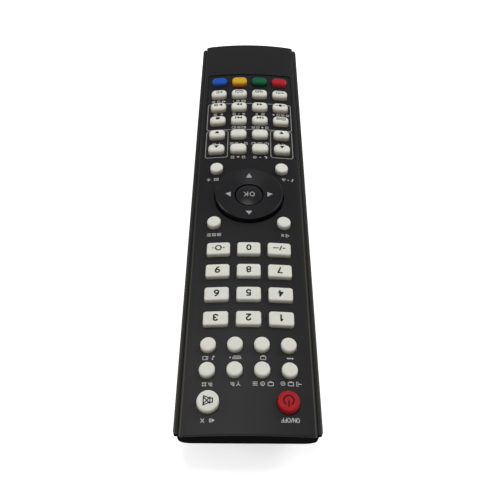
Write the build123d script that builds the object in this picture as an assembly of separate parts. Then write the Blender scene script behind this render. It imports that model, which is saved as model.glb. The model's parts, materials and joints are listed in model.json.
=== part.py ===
from build123d import *
import math
import os

# A hand-held television remote control, in millimetres. It lies on its flat back at Z 0.
# X runs across it, and Y along it towards the infrared window. The origin is under its middle.

# Whole case
case_length = 220.4
case_width = 51.5
tail_bow = 0.4
cut_overrun = 2.0
slip = 0.05

# Front cover
cover_wall = 2.0
skirt_wall = 1.6
skirt_height = 7.0
crown_radius = 168.0
shoulder_width = 2.0
shoulder_drop = 0.3
shoulder_blend = 12.0
cover_edge_round = 0.6
cover_tail_corner = 1.1
cover_nose_corner = 1.2

# Sunken panel around the lower keys
panel_side_margin = 2.0
panel_tail_margin = 7.0
panel_nose_margin = 6.0
panel_depth = 0.45
panel_corner = 1.5

# Rear cover
rear_wall = 1.8
side_curve_width = 7.25
side_flat_depth = 5.0
rail_width = 1.85
rail_gap = 0.2
rail_drop = 3.5
rail_round = 0.5
rail_end_corner = 0.6
rail_end_gap = 0.1
tail_round = 8.0
tail_corner = 2.2
nose_length = 35.0
nose_curve_width = 5.0
nose_station_shares = (0.0, 0.25, 0.5, 0.75, 1.0)
chin_step = 0.6
chin_drop = 4.5
chin_depth = 3.9
seat_rib_depth = 1.6

# Infrared window
window_thickness = 2.0
window_lip = 0.7
nose_wall = 1.7

# Circuit board, its parts and the posts that clamp it
board_gap = 0.5
board_end_gap = 5.8
board_thickness = 1.2
board_corner = 2.0
post_margin = 1.6
post_row_shares = (0.4174, 0.2731, 0.1134, -0.0926, -0.2355, -0.3739)
rear_post_radius = 1.8
front_post_radius = 1.2
pin_radius = 0.8
pin_height = 1.0
pin_clearance = 0.2
chip_size = 10.0
chip_height = 1.5
chip_column = 4.0
chip_row_share = 0.109
resonator_width = 7.0
resonator_depth = 3.0
resonator_height = 4.5
resonator_column = -9.0
capacitor_radius = 2.5
capacitor_height = 7.0
capacitor_column = 12.0
capacitor_gap = 14.7
diode_radius = 1.5
diode_length = 6.4
diode_lift = 0.75
diode_rim_radius = 1.7
diode_rim_length = 0.8
diode_hole_clearance = 0.2
diode_gap = 0.3
lead_width = 0.5
lead_spacing = 1.5
lead_reach = 2.4

# Silicone mat
mat_side_margin = 0.4
mat_tail_margin = 9.1
mat_nose_margin = 4.7
mat_thickness = 1.0
mat_corner = 1.5
mat_hole_clearance = 0.4
mat_notch_width = 8.0
mat_notch_length = 8.4

# Keys
key_travel = 1.0
key_clearance = 0.28
key_stop_gap = 0.05
flange_grow = 0.7
flange_thickness = 0.6
flange_gap = 0.3
stem_inset = 1.2
shortest_stem = 1.03

power_diameter = 7.85
power_proud = 2.3
power_round = 0.7
power_column_share = 0.2954
power_row_share = 0.4478

button_diameter = 5.8
button_proud = 2.1
button_round = 0.8
button_pitch_share = 0.2089
button_row_shares = (0.3934, 0.348)
corner_column_share = 0.3143
corner_gaps = (1.6, 2.4)

digit_gap = 2.95
digit_depth = 6.0
digit_corner = 1.1
digit_proud = 2.0
digit_round = 0.65
digit_pitch_share = 0.2637
digit_row_pitch_share = 0.0499
digit_first_row_share = 0.2986

pill_gap = 2.63
pill_depth = 5.25
pill_corner = 2.1
pill_proud = 1.9
pill_round = 1.3
pill_pitch_share = 0.218
pill_row_pitch_share = 0.04537
pill_first_row_share = -0.122
pill_rows = 6
pill_row_length = 4

# Ring and middle button
ring_centre_share = 0.0127
ring_radius = 14.85
ring_bore = 6.45
ring_clearance = 0.65
ring_proud = 2.2
ring_dish = 1.2
ring_rim_width = 0.55
ring_rim_round = 0.35
ring_flange_width = 1.45
ring_flange_gap = 0.75
ring_web = 3.0
ring_peg_inset = 3.85
ring_peg_radius = 1.2
ring_peg_length = 0.5
ring_peg_count = 4
ok_gap = 0.5
ok_proud = 1.5
ok_edge_proud = 0.75
ok_edge_round = 0.3
ok_skirt = 3.4
ok_stem_radius = 2.5

# Cells and their bay
cell_radius = 5.25
cell_length = 44.5
cell_gap = 0.4
cell_clearance = 0.3
cell_round = 0.4
nub_radius = 1.9
nub_length = 1.0
bay_side_gap = 0.5
bay_tail_gap = 12.2
bay_wall = 1.2

# Contacts
plate_thickness = 0.4
plate_height = 8.4
plate_width = 9.0
spring_radius = 2.8
spring_wire = 0.6
spring_turns = 3.5
spring_length = 4.6

# Battery door
door_gap = 0.15
door_lip = 0.9
door_tongue_width = 1.55
door_tail_height = 4.0
latch_width = 12.0
latch_reach = 1.8
grip_count = 6
grip_pitch = 1.6
grip_width = 0.8
grip_length = 12.0
grip_depth = 0.4
grip_start = 3.4
arrow_width = 5.0
arrow_length = 3.6
arrow_depth = 0.3
arrow_place = 16.0

# Lengths and widths worked out from the sizes above
half_length = case_length / 2
half_width = case_width / 2
rail_inner = half_width - rail_width
cover_half = rail_inner - rail_gap
cover_width = 2 * cover_half
chin_half = cover_half + chin_step
board_half = cover_half - skirt_wall - board_gap
chin_back = half_length - rear_wall
rail_nose = chin_back - rail_end_gap
nose_start = half_length - nose_length
window_back = half_length - window_thickness
cell_spacing = 2 * cell_radius + cell_gap
bay_width = cell_spacing + 2 * (cell_radius + bay_side_gap)
bay_tail = bay_tail_gap - half_length
bay_length = cell_length + spring_length + 2 * (plate_thickness + slip)
bay_nose = bay_tail + bay_length
door_nose = bay_nose + bay_wall

# Places of the keys
power_column = cover_width * power_column_share
power_row = case_length * power_row_share
button_pitch = cover_width * button_pitch_share
button_rows = [case_length * share for share in button_row_shares]
digit_pitch_x = cover_width * digit_pitch_share
digit_pitch_y = case_length * digit_row_pitch_share
digit_first_row = case_length * digit_first_row_share
digit_width = digit_pitch_x - digit_gap
pill_pitch_x = cover_width * pill_pitch_share
pill_pitch_y = case_length * pill_row_pitch_share
pill_first_row = case_length * pill_first_row_share
pill_last_row = pill_first_row - (pill_rows - 1) * pill_pitch_y
pill_width = pill_pitch_x - pill_gap
pill_reach = (pill_row_length * pill_pitch_x - pill_gap) / 2 + flange_grow

# Ring, middle button and the four keys around them
ring_centre = case_length * ring_centre_share
ring_hole_radius = ring_radius + ring_clearance
ring_flange_radius = ring_radius + ring_flange_width
ring_peg_circle = ring_radius - ring_peg_inset
ok_radius = ring_bore - ok_gap
corner_column = cover_width * corner_column_share
corner_reaches = [ring_flange_radius + flange_grow + button_diameter / 2 + gap for gap in corner_gaps]
corner_offsets = [math.sqrt(reach**2 - corner_column**2) for reach in corner_reaches]
corner_rows = (ring_centre + corner_offsets[0], ring_centre - corner_offsets[1])


def crown_drop(x):
    """How far the crowned top lies below its middle line at x."""
    return crown_radius - math.sqrt(crown_radius**2 - x**2)


# Heights, from the cells up through the board and the keys to the crowned top
cell_height = rear_wall + cell_clearance
bay_roof = cell_height + 2 * cell_radius + cell_clearance
board_bottom = bay_roof + bay_wall + board_gap
board_top = board_bottom + board_thickness
mat_top = board_top + mat_thickness
stem_bottom = board_top + key_travel + key_stop_gap
key_stack = shortest_stem + flange_thickness + flange_gap
case_height = stem_bottom + key_stack + cover_wall + crown_drop(pill_reach)
ledge_height = case_height - skirt_height
rail_height = case_height - rail_drop
side_curve_height = rail_height - side_flat_depth
chin_height = case_height - chin_drop
nose_rise = chin_height - chin_depth
diode_height = chin_height + diode_lift


def cross_plane(y):
    """Plane across the case at y, with X to the right and Z up."""
    return Plane(origin=(0, y, 0), x_dir=(1, 0, 0), z_dir=(0, -1, 0))


def block(x0, x1, y0, y1, z0, z1):
    """Box between two corners."""
    return Pos((x0 + x1) / 2, (y0 + y1) / 2, (z0 + z1) / 2) * Box(x1 - x0, y1 - y0, z1 - z0)


def rod(x, y, z0, z1, radius):
    """Upright cylinder."""
    return Pos(x, y, (z0 + z1) / 2) * Cylinder(radius, z1 - z0)


def below_crown(lift):
    """Everything under the crowned top, raised by lift, with its long edges rounded."""
    shoulder = cover_half - shoulder_width
    middle = case_height + lift
    inner = middle - crown_drop(shoulder)
    outer = middle - crown_drop(cover_half) - shoulder_drop
    outline = [
        Line((-cover_half, outer), (-shoulder, inner)),
        ThreePointArc((-shoulder, inner), (0, middle), (shoulder, inner)),
        Line((shoulder, inner), (cover_half, outer)),
        Line((cover_half, outer), (cover_half, 0)),
        Line((cover_half, 0), (-cover_half, 0)),
        Line((-cover_half, 0), (-cover_half, outer)),
    ]
    section = make_face(outline)
    section = fillet(section.vertices().sort_by(Axis.Y)[-2:], shoulder_blend)
    corners = section.vertices().filter_by(lambda corner: abs(corner.Y - outer) < slip)
    section = fillet(corners, cover_edge_round)
    return extrude(cross_plane(0) * section, amount=half_length + cut_overrun, both=True)


def sharp_outline(half, tail, nose):
    """Outline from above with a bowed tail end and sharp corners."""
    edges = [
        ThreePointArc((-half, tail + tail_bow), (0, tail), (half, tail + tail_bow)),
        Line((half, tail + tail_bow), (half, nose)),
        Line((half, nose), (-half, nose)),
        Line((-half, nose), (-half, tail + tail_bow)),
    ]
    return make_face(edges)


def plan_outline(half, tail, nose, tail_radius, nose_radius):
    """Outline from above with rounded corners."""
    face = sharp_outline(half, tail, nose)
    face = fillet(face.vertices().sort_by(Axis.Y)[:2], tail_radius)
    return fillet(face.vertices().sort_by(Axis.Y)[-2:], nose_radius)


def plan_limits(inset):
    """Space inside the case's outline and over its rounded lower tail edge."""
    tall = case_height + cut_overrun
    tail = inset - half_length
    between_rails = plan_outline(
        half_width - inset, tail, rail_nose - inset, tail_corner - inset, rail_end_corner
    )
    body = extrude(between_rails, amount=tall)
    low_edges = body.edges().filter_by(lambda edge: edge.center().Z < slip)
    body = Pos(0, 0, inset) * fillet(low_edges.sort_by(Axis.Y)[0], tail_round - inset)
    nose = plan_outline(
        chin_half - inset, tail, half_length - inset, cover_tail_corner, cover_nose_corner
    )
    front_half = block(-half_width, half_width, 0, half_length, 0, tall)
    return body + (extrude(nose, amount=tall) & front_half)


def hull_section(y, inset, top):
    """Section of the rear hull at y. Past the start of the nose it narrows and its bottom rises."""
    share = max(0, (y - nose_start) / nose_length)
    bottom = nose_rise * share**2
    half = half_width + (chin_half - half_width) * share**2
    flat = half_width - side_curve_width
    flat += (chin_half - nose_curve_width - flat) * share
    curve_top = side_curve_height + (chin_height - side_curve_height - slip) * share
    wide = half - flat - inset
    tall = curve_top - bottom - inset
    low = bottom + inset
    side = half - inset
    edges = [
        Line((-flat, low), (flat, low)),
        EllipticalCenterArc((flat, curve_top), wide, tall, start_angle=270, arc_size=90),
        Line((side, curve_top), (side, top)),
        Line((side, top), (-side, top)),
        Line((-side, top), (-side, curve_top)),
        EllipticalCenterArc((-flat, curve_top), wide, tall, start_angle=180, arc_size=90),
    ]
    return cross_plane(y) * make_face(edges)


def hull(inset, top):
    """Solid form of the rear cover, with every wall moved in by inset."""
    straight = extrude(hull_section(nose_start, inset, top), amount=nose_start + half_length)
    reach = half_length - inset - nose_start
    stations = [hull_section(nose_start + reach * share, inset, top) for share in nose_station_shares]
    return (straight + loft(stations)) & plan_limits(inset)


def key_outline(form, grow=0.0):
    """Key seen from above, grown by a margin on every side."""
    width, depth, corner = form["plan"]
    if depth is None:
        return Circle(width / 2 + grow)
    return RectangleRounded(width + 2 * grow, depth + 2 * grow, corner * (depth + 2 * grow) / depth)


POWER = {"plan": (power_diameter, None, None), "proud": power_proud, "round": power_round}
BUTTON = {"plan": (button_diameter, None, None), "proud": button_proud, "round": button_round}
DIGIT = {"plan": (digit_width, digit_depth, digit_corner), "proud": digit_proud, "round": digit_round}
PILL = {"plan": (pill_width, pill_depth, pill_corner), "proud": pill_proud, "round": pill_round}


def key_columns(count, pitch):
    """X of every key in a row that is centred on the case."""
    return [(place - (count - 1) / 2) * pitch for place in range(count)]


def key_layout():
    """Every key's name, form and place. Each row of names runs from the left to the right."""
    keys = {
        "key_power": (POWER, -power_column, power_row),
        "key_mute": (POWER, power_column, power_row),
        "key_exit": (BUTTON, -corner_column, corner_rows[0]),
        "key_menu": (BUTTON, corner_column, corner_rows[0]),
        "key_sound_mode": (BUTTON, -corner_column, corner_rows[1]),
        "key_picture_mode": (BUTTON, corner_column, corner_rows[1]),
    }
    round_names = [
        ["key_source", "key_display", "key_tuner_a", "key_tuner_b"],
        ["key_input_a", "key_input_b", "key_input_c", "key_input_d"],
    ]
    for row, names in zip(button_rows, round_names):
        for column, name in zip(key_columns(len(names), button_pitch), names):
            keys[name] = (BUTTON, column, row)
    digit_names = [
        ["key_digit_1", "key_digit_2", "key_digit_3"],
        ["key_digit_4", "key_digit_5", "key_digit_6"],
        ["key_digit_7", "key_digit_8", "key_digit_9"],
        ["key_dash", "key_digit_0", "key_recall"],
    ]
    for line, names in enumerate(digit_names):
        for column, name in zip(key_columns(len(names), digit_pitch_x), names):
            keys[name] = (DIGIT, column, digit_first_row - line * digit_pitch_y)
    pill_names = [
        ["key_volume_up", "key_sleep", "key_page_up", "key_channel_up"],
        ["key_volume_down", "key_aspect", "key_page_down", "key_channel_down"],
        ["key_text", "key_previous", "key_next", "key_stop"],
        ["key_record", "key_rewind", "key_forward", "key_play_pause"],
        ["key_repeat", "key_zoom", "key_subtitle", "key_audio"],
        ["key_red", "key_green", "key_yellow", "key_blue"],
    ]
    for line, names in enumerate(pill_names):
        for column, name in zip(key_columns(pill_row_length, pill_pitch_x), names):
            keys[name] = (PILL, column, pill_first_row - line * pill_pitch_y)
    return keys


def flange_top(reach):
    """Height of a key's flange, just under the cover at its outermost x."""
    return case_height - cover_wall - crown_drop(reach) - flange_gap


def make_key(form, x, y):
    """Cap through the cover, flange under it and a stem over the circuit board."""
    width = form["plan"][0]
    ledge = flange_top(abs(x) + width / 2 + flange_grow)
    tall = case_height + form["proud"] + cut_overrun - ledge
    cap = Pos(x, y, ledge) * extrude(key_outline(form), amount=tall) & below_crown(form["proud"])
    rim = cap.faces().sort_by(Axis.Z)[-1].edges()
    cap = fillet(rim, form["round"])
    flange_bottom = ledge - flange_thickness
    flange = Pos(x, y, flange_bottom) * extrude(key_outline(form, flange_grow), amount=flange_thickness)
    stem = Pos(x, y, stem_bottom) * extrude(
        key_outline(form, -stem_inset), amount=flange_bottom - stem_bottom
    )
    return cap + flange + stem


def make_ring():
    """Dished ring with a flange under the cover and four pegs over the mat."""
    top = case_height + ring_proud
    flange_up = flange_top(ring_flange_radius) + flange_gap - ring_flange_gap
    flange_low = flange_up - flange_thickness
    lip = top - ring_dish
    points = [
        (ring_bore, lip - ring_web),
        (ring_bore, lip),
        (ring_radius - ring_rim_width, top),
        (ring_radius, top),
        (ring_radius, flange_up),
        (ring_flange_radius, flange_up),
        (ring_flange_radius, flange_low),
        (ring_radius - ring_web, flange_low),
        (ring_radius - ring_web, lip - ring_web),
    ]
    profile = make_face(Polyline(*points, close=True))
    rim = profile.vertices().sort_by(Axis.Y)[-2:]
    profile = fillet(rim, ring_rim_round)
    ring = revolve(Plane.XZ * profile, Axis.Z)
    peg_low = flange_low - ring_peg_length
    pegs = PolarLocations(ring_peg_circle, ring_peg_count)
    peg = rod(0, 0, peg_low, lip - ring_web + slip, ring_peg_radius)
    ring += [place * peg for place in pegs]
    return Pos(0, ring_centre, 0) * ring


def make_ok():
    """Domed middle button on a thick stem."""
    top = case_height + ok_proud
    edge = case_height + ok_edge_proud
    low = edge - ok_skirt
    across = Rectangle(2 * ok_radius, 2 * (top - low))
    sides = [
        ThreePointArc((ok_radius, edge), (0, top), (-ok_radius, edge)),
        Line((-ok_radius, edge), (-ok_radius, low)),
        Line((-ok_radius, low), (ok_radius, low)),
        Line((ok_radius, low), (ok_radius, edge)),
    ]
    profile = make_face(sides)
    profile = fillet(profile.vertices().group_by(Axis.Y)[-1], ok_edge_round)
    half = profile & Pos(ok_radius, top) * across
    button = revolve(Plane.XZ * half, Axis.Z)
    button += rod(0, 0, stem_bottom, low + slip, ok_stem_radius)
    return Pos(0, ring_centre, 0) * button


def post_places():
    """Places of the posts that clamp the circuit board, right and left."""
    reach = board_half - post_margin
    return [(side * reach, case_length * share) for share in post_row_shares for side in (-1, 1)]


def key_holes(keys, margin, low, high):
    """Cutters around every key."""
    return [
        Pos(x, y, low) * extrude(key_outline(form, margin), amount=high - low)
        for form, x, y in keys.values()
    ]


def end_rims(blank):
    """Upper edges at the two ends of the crowned blank."""
    ends = [face for face in blank.faces() if abs(face.normal_at().Y) > abs(face.normal_at().Z)]
    edges = ShapeList(edge for face in ends for edge in face.edges())
    upper = edges.filter_by(lambda edge: edge.center().Z > rail_height)
    return upper.filter_by(lambda edge: abs(edge.center().X) < cover_half - slip)


def cover_blank():
    """Solid form of the front cover, crowned, with its upper edges and its corners rounded."""
    tall = case_height + cut_overrun - ledge_height
    sharp = extrude(sharp_outline(cover_half, -half_length, half_length), amount=tall)
    blank = Pos(0, 0, ledge_height) * sharp & below_crown(0)
    blank = fillet(end_rims(blank), cover_edge_round)
    corners = plan_outline(cover_half, -half_length, half_length, cover_tail_corner, cover_nose_corner)
    return blank & Pos(0, 0, ledge_height) * extrude(corners, amount=tall)


def make_front_cover(keys):
    """Crowned shell with the key holes, the sunken panel and the window's place."""
    tall = case_height + cut_overrun
    cover = cover_blank()
    inside = block(
        skirt_wall - cover_half, cover_half - skirt_wall, skirt_wall - half_length + tail_bow,
        window_back - nose_wall, 0, tall,
    )
    cover -= inside & below_crown(-cover_wall)
    window_place = block(-half_width, half_width, window_back, case_length, 0, tall)
    cover -= window_place & below_crown(-window_lip)
    panel_tail = pill_last_row - panel_tail_margin
    panel_nose = pill_first_row + panel_nose_margin
    panel_width = cover_width - 2 * panel_side_margin
    panel = RectangleRounded(panel_width, panel_nose - panel_tail, panel_corner)
    sunken = Pos(0, (panel_tail + panel_nose) / 2, 0) * extrude(panel, amount=tall)
    cover -= sunken - below_crown(-panel_depth)
    cover -= key_holes(keys, key_clearance, ledge_height, tall)
    cover -= rod(0, ring_centre, ledge_height, tall, ring_hole_radius)
    hole_start = cross_plane(window_back + slip)
    hole = Pos(0, diode_height) * Circle(diode_rim_radius + diode_hole_clearance)
    cover -= extrude(hole_start * hole, amount=nose_wall + 2 * slip)
    posts = [rod(x, y, board_top, case_height, front_post_radius) for x, y in post_places()]
    return cover + [post & below_crown(-cover_wall / 2) for post in posts]


def make_window():
    """Dark strip under the cover's lip, standing on the chin."""
    outline = plan_outline(cover_half, -half_length, half_length, cover_tail_corner, cover_nose_corner)
    tall = case_height - chin_height
    strip = Pos(0, 0, chin_height) * extrude(outline, amount=tall) & below_crown(-window_lip - slip)
    return strip & block(-half_width, half_width, window_back, half_length, 0, case_height)


def make_bay(middle):
    """Tray around the cells, the roof over the door's latch and the tunnel behind the tray."""
    inner = bay_width / 2
    outer = inner + bay_wall
    low = rear_wall + door_gap
    tunnel_top = door_tail_height + door_gap
    tray = block(-outer, outer, bay_tail - bay_wall, door_nose, low, bay_roof + bay_wall)
    hollow = block(-inner, inner, bay_tail, bay_nose, 0, bay_roof)
    latch_roof = block(-outer, outer, bay_nose, door_nose + 2 * latch_reach, low, low + bay_wall)
    tunnel = block(-outer, outer, -half_length, bay_tail, low, tunnel_top + bay_wall)
    tunnel_space = block(-inner, inner, -half_length, bay_tail - bay_wall, 0, tunnel_top)
    return (tray - hollow + latch_roof + (tunnel - tunnel_space)) & middle


def door_opening():
    """Space for the door: its plate, its side tongues, its latch and its tail."""
    inner = bay_width / 2
    groove = inner + door_tongue_width + door_gap
    latch = latch_width / 2 + door_gap
    high = rear_wall + door_gap
    plate = block(-inner, inner, -case_length, door_nose, -cut_overrun, high)
    tail = block(-inner, inner, -case_length, bay_tail - bay_wall, 0, door_tail_height + door_gap)
    grooves = block(-groove, groove, -case_length, door_nose, door_lip, high)
    catch = block(-latch, latch, door_nose, door_nose + latch_reach, door_lip, high)
    return plate + tail + grooves + catch


def make_rail(side):
    """Rounded rail that stands on the ledge at one side of the front cover."""
    inner, outer = sorted((side * rail_inner, side * half_width))
    rail = block(inner, outer, -case_length, rail_nose, ledge_height, rail_height)
    top_edges = rail.edges().filter_by(Axis.Y).sort_by(Axis.Z)[-2:]
    return fillet(top_edges, rail_round) & plan_limits(0)


def make_seat_ribs(middle):
    """Ledge that the front cover's skirt stands on."""
    inner = cover_half - skirt_wall
    low = ledge_height - seat_rib_depth
    right = block(inner, half_width, -half_length, half_length, low, ledge_height)
    left = block(-half_width, -inner, -half_length, half_length, low, ledge_height)
    front = block(-half_width, half_width, window_back - nose_wall, half_length, low, ledge_height)
    return (right + left + front) & middle


def make_rear_cover(outer, cavity):
    """Tub with side rails, chin, ledge, posts for the circuit board and the battery bay."""
    middle = hull(rear_wall / 2, chin_height)
    cover = outer - cavity
    cover -= block(-case_width, case_width, -case_length, chin_back, ledge_height, case_height)
    cover += [make_rail(side) for side in (-1, 1)]
    cover += make_seat_ribs(middle)
    pin_low = board_bottom - slip
    pin_high = board_bottom + pin_height
    cover += [rod(x, y, 0, board_bottom, rear_post_radius) & middle for x, y in post_places()]
    cover += [rod(x, y, pin_low, pin_high, pin_radius) for x, y in post_places()]
    cover += make_bay(middle)
    return cover - door_opening()


def make_door(outer, cavity):
    """Sliding door with side tongues, a latch, finger grooves and an arrow."""
    inner = bay_width / 2 - door_gap
    nose = door_nose - door_gap
    low = door_lip + door_gap
    tongue = inner + door_tongue_width
    window = block(-inner, inner, -case_length, nose, -cut_overrun, door_tail_height)
    door = (outer - cavity) & window
    door += block(-tongue, tongue, bay_tail, nose - door_tongue_width, low, rear_wall)
    door += block(-latch_width / 2, latch_width / 2, nose - slip, nose + latch_reach, low, rear_wall)
    for index in range(grip_count):
        y = nose - grip_start - index * grip_pitch
        door -= block(-grip_length / 2, grip_length / 2, y - grip_width, y, -cut_overrun, grip_depth)
    arrow_base = nose - arrow_place
    arrow = Polyline(
        (-arrow_width / 2, arrow_base),
        (arrow_width / 2, arrow_base),
        (0, arrow_base - arrow_length),
        close=True,
    )
    return door - Pos(0, 0, -cut_overrun) * extrude(make_face(arrow), amount=cut_overrun + arrow_depth)


def make_mat(keys):
    """Silicone sheet on the circuit board with a hole under every stem."""
    mat_width = 2 * (board_half - mat_side_margin)
    mat_tail = pill_last_row - mat_tail_margin
    mat_nose = power_row + mat_nose_margin
    sheet = RectangleRounded(mat_width, mat_nose - mat_tail, mat_corner)
    mat = Pos(0, (mat_nose + mat_tail) / 2, board_top) * extrude(sheet, amount=mat_thickness)
    low = board_top - slip
    high = mat_top + slip
    mat -= key_holes(keys, mat_hole_clearance - stem_inset, low, high)
    mat -= rod(0, ring_centre, low, high, ok_stem_radius + mat_hole_clearance)
    mat -= [rod(x, y, low, high, front_post_radius + mat_hole_clearance) for x, y in post_places()]
    half_notch = mat_notch_width / 2
    return mat - block(-half_notch, half_notch, mat_nose - mat_notch_length, half_length, low, high)


def make_diode():
    """Infrared diode that looks out through the window, and its two legs."""
    tip = window_back - diode_gap
    back = tip - diode_length
    body = extrude(cross_plane(tip) * Pos(0, diode_height) * Circle(diode_radius), amount=diode_length)
    body = fillet(body.edges().sort_by(Axis.Y)[-1], diode_radius - slip)
    rim = Pos(0, diode_height) * Circle(diode_rim_radius)
    body += extrude(cross_plane(back + diode_rim_length) * rim, amount=diode_rim_length)
    legs = []
    for side in (-1, 1):
        left = side * lead_spacing / 2 - lead_width / 2
        bend = back - lead_reach
        upright = block(left, left + lead_width, bend, bend + lead_width, board_top, diode_height)
        level = block(left, left + lead_width, bend, back, diode_height - lead_width, diode_height)
        legs.append(upright + level)
    return [body, *legs]


def make_board():
    """Circuit board with the parts that it carries."""
    sheet = RectangleRounded(2 * board_half, case_length - 2 * board_end_gap, board_corner)
    board = Pos(0, 0, board_bottom) * extrude(sheet, amount=board_thickness)
    low = board_bottom - slip
    high = board_top + slip
    board -= [rod(x, y, low, high, pin_radius + pin_clearance) for x, y in post_places()]
    chip_row = case_length * chip_row_share
    chip = Box(chip_size, chip_size, chip_height)
    chip = Pos(chip_column, chip_row, board_bottom - chip_height / 2) * chip
    can = Box(resonator_width, resonator_depth, resonator_height)
    can = fillet(can.edges().filter_by(Axis.Z), resonator_depth / 2 - slip)
    can = Pos(resonator_column, chip_row, board_bottom - resonator_height / 2) * can
    capacitor_row = door_nose + 2 * latch_reach + capacitor_gap + capacitor_radius
    capacitor_low = board_bottom - capacitor_height
    capacitor = rod(capacitor_column, capacitor_row, capacitor_low, board_bottom, capacitor_radius)
    return Compound(children=[board, chip, can, capacitor, *make_diode()])


def cell_ends():
    """Each cell's side and the direction of its positive end along Y."""
    return [(1, 1), (-1, -1)]


def plate_face(end):
    """Y of the contact plate's inner face at the nose or the tail end of the bay."""
    if end > 0:
        return bay_nose - plate_thickness
    return bay_tail + plate_thickness


def make_cells():
    """Two cells lying side by side, turned opposite ways."""
    cells = []
    for side, end in cell_ends():
        tip = plate_face(end) - end * slip
        body_length = cell_length - nub_length
        body = fillet(Cylinder(cell_radius, body_length).edges(), cell_round)
        nub = Pos(0, 0, cell_length / 2) * Cylinder(nub_radius, nub_length)
        cell = Rot(-90 * end, 0, 0) * (body + nub)
        middle = tip - end * (nub_length + body_length / 2)
        cells.append(Pos(side * cell_spacing / 2, middle, cell_height + cell_radius) * cell)
    return Compound(children=cells)


def make_spring(side, end):
    """Coil spring between the plate and the flat end of one cell."""
    start = plate_face(-end)
    rise = spring_length - spring_wire
    pitch = rise / spring_turns
    coil = Helix(pitch=pitch, height=rise, radius=spring_radius)
    section = Plane(origin=coil @ 0, z_dir=coil % 0) * Circle(spring_wire / 2)
    spring = sweep(section, path=coil, is_frenet=True)
    spring = Rot(-90 * end, 0, 0) * (Pos(0, 0, spring_wire / 2) * spring)
    return Pos(side * cell_spacing / 2, start, cell_height + cell_radius) * spring


def make_contacts():
    """Bridge plate at the tail, two plates at the nose end and two springs."""
    plate_bottom = cell_height + cell_radius - plate_height / 2
    high = plate_bottom + plate_height
    near = cell_spacing / 2 - plate_width / 2
    far = cell_spacing / 2 + plate_width / 2
    tail_face = plate_face(-1)
    nose_face = plate_face(1)
    bridge = block(-far, far, bay_tail, tail_face, plate_bottom, high)
    right = block(near, far, nose_face, bay_nose, plate_bottom, high)
    left = block(-far, -near, nose_face, bay_nose, plate_bottom, high)
    springs = [make_spring(side, end) for side, end in cell_ends()]
    return Compound(children=[bridge, right, left, *springs])


def make_nodes():
    """Every node of the remote control by name."""
    keys = key_layout()
    outer = hull(0, chin_height)
    cavity = hull(rear_wall, case_height)
    nodes = {
        "front_cover": make_front_cover(keys),
        "rear_cover": make_rear_cover(outer, cavity),
        "battery_door": make_door(outer, cavity),
        "ir_window": make_window(),
        "keypad_mat": make_mat(keys),
        "circuit_board": make_board(),
        "battery_contacts": make_contacts(),
        "batteries": make_cells(),
        "nav_ring": make_ring(),
        "key_ok": make_ok(),
    }
    for name, (form, x, y) in keys.items():
        nodes[name] = make_key(form, x, y)
    return nodes


os.makedirs("parts", exist_ok=True)
for node_name, node_shape in make_nodes().items():
    export_step(node_shape, f"parts/{node_name}.step")
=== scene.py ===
import json
import math

import bpy
import numpy as np
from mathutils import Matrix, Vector
from mathutils.bvhtree import BVHTree

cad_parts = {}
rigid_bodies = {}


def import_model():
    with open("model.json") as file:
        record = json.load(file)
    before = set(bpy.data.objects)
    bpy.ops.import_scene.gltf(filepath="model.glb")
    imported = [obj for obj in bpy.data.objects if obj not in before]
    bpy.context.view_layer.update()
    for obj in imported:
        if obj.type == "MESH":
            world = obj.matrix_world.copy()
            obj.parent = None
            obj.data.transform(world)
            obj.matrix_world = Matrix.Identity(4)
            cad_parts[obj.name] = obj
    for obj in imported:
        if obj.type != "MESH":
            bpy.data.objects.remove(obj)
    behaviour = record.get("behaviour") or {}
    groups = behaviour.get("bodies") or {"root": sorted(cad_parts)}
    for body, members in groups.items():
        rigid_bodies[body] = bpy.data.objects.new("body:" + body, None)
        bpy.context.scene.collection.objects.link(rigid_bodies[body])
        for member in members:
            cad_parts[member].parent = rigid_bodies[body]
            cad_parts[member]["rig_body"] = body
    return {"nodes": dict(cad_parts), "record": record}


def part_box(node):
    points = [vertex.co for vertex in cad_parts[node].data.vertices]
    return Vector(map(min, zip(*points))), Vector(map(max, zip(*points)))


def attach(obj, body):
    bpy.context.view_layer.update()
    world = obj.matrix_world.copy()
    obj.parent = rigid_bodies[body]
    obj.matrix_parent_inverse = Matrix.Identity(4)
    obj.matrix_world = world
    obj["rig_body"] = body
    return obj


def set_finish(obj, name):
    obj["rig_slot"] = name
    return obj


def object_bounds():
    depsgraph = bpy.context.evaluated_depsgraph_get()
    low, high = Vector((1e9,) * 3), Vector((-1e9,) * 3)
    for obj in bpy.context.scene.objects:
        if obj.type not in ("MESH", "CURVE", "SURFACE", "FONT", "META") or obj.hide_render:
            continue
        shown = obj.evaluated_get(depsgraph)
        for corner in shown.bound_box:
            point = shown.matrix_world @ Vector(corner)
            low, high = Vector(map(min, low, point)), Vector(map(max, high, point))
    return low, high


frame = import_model()
nodes = frame["nodes"]
cad_low, cad_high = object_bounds()

# The object lies on its back. X runs across it and Y along it towards the infrared window.
# Places and sizes of printed marks are in millimetres, and everything in the scene is in metres.
MM = 0.001

# Camera at the photograph's viewing angle
CAMERA_PLACE_MM = (1.5, 180.95, 219.48)
CAMERA_TURN_DEG = (36.905, -0.66, 180.109)
PHOTO_SIZE_PX = 500
FOCAL_LENGTH_PX = 598.2
SENSOR_WIDTH = 36.0

# Printed marks: grid cell, how far a mark stands over its surface and reaches under it, strokes
MARK_CELL = 0.09
FINE_CELL = 0.07
LABEL_CELL = 0.08
COARSE_CELL = 0.14
MARK_LIFT = 0.018
MARK_DEPTH = 0.06
LABEL_LINE = 0.3
FRAME_LINE = 0.36
THIN_LINE = 0.24
FINE_LINE = 0.2

# Share of a grid edge that a cut point keeps off both ends
CUT_MARGIN = 0.02


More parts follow.
